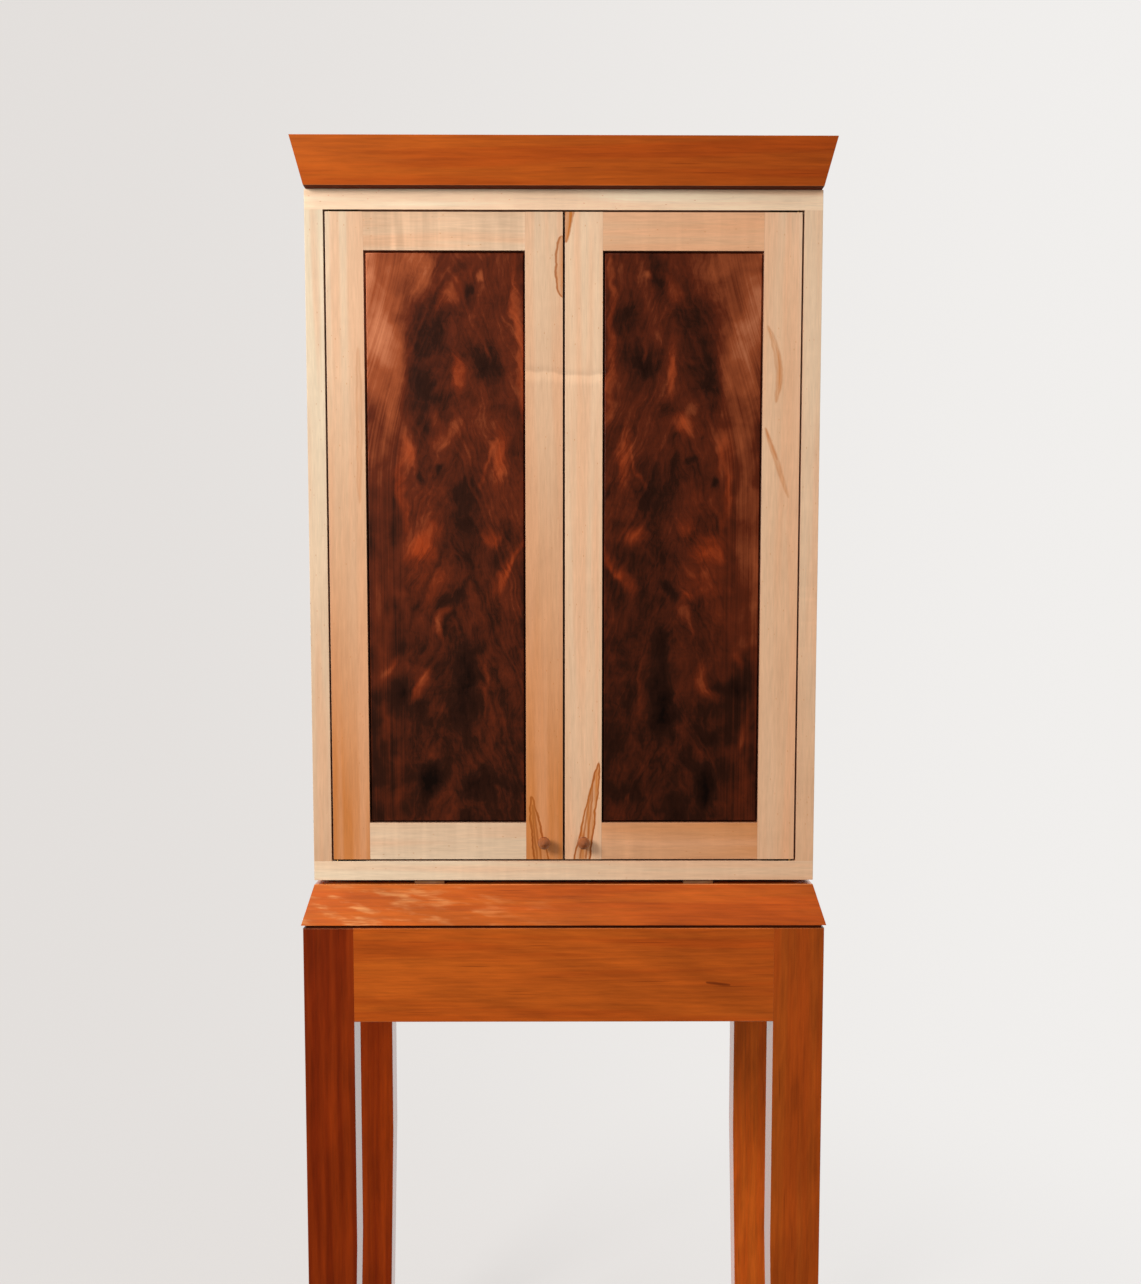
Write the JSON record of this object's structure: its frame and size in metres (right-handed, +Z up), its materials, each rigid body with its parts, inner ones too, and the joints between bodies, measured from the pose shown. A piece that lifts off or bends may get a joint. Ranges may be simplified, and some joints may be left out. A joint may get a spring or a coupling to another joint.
{
  "type": "display cabinet on stand",
  "caption": "Tall maple case with inset frame-and-panel doors of figured walnut, held clear of a cherry stand on legs by thin runners, under a flared cherry crown.",
  "frame": {"origin": "on the floor, under the middle of the stand", "axes": "+Z up, the doors face -Y, +X to the right of someone who faces the doors"},
  "size_m": [0.5592, 0.4166, 1.5315],
  "materials": {
    "cherry": "satin oil",
    "maple": "satin oil",
    "crotch_walnut": "satin oil",
    "dark_walnut": "satin oil",
    "knob_wood": "polished",
    "brass": "brushed",
    "steel": "zinc plated"
  },
  "bodies": {
    "cabinet": {"leg_front_left": "cherry", "leg_front_right": "cherry", "leg_rear_left": "cherry", "leg_rear_right": "cherry", "apron_front": "cherry", "apron_back": "cherry", "apron_left": "cherry", "apron_right": "cherry", "top_spacer_strips": "dark_walnut", "stand_top_front": "cherry", "stand_top_back": "cherry", "stand_top_left": "cherry", "stand_top_right": "cherry", "stand_top_panel": "cherry", "top_buttons": "cherry", "button_screws": "steel", "runner_left": "maple", "runner_right": "maple", "case_fixing_screws": "steel", "case_left_side": "maple", "case_right_side": "maple", "case_top": "maple", "case_bottom": "maple", "back_stile_left": "maple", "back_stile_right": "maple", "back_rail_top": "maple", "back_rail_bottom": "maple", "back_panel": "maple", "shelf_lower": "maple", "shelf_upper": "maple", "shelf_pins": "brass", "door_stop_top": "maple", "door_stop_bottom": "maple", "stop_magnets": "steel", "case_hinge_plates": "brass", "case_hinge_screws": "brass", "crown_front": "cherry", "crown_back": "cherry", "crown_left": "cherry", "crown_right": "cherry", "crown_panel": "cherry", "crown_screws": "steel"},
    "door_left": {"left_hinge_stile": "maple", "left_lock_stile": "maple", "left_top_rail": "maple", "left_bottom_rail": "maple", "left_panel": "crotch_walnut", "left_knob": "knob_wood", "left_hinge_plates": "brass", "left_hinge_screws": "brass", "left_strike": "steel"},
    "door_right": {"right_hinge_stile": "maple", "right_lock_stile": "maple", "right_top_rail": "maple", "right_bottom_rail": "maple", "right_panel": "crotch_walnut", "right_knob": "knob_wood", "right_hinge_plates": "brass", "right_hinge_screws": "brass", "right_strike": "steel"}
  },
  "joints": [
    {"name": "left_door_hinge", "type": "hinge", "parent": "cabinet", "child": "door_left", "pos_m": [-0.2421, -0.1781, 1.12575], "axis": [0, 0, -1], "range_deg": [0, 105]},
    {"name": "right_door_hinge", "type": "hinge", "parent": "cabinet", "child": "door_right", "pos_m": [0.2421, -0.1781, 1.12575], "axis": [0, 0, 1], "range_deg": [0, 105]}
  ]
}
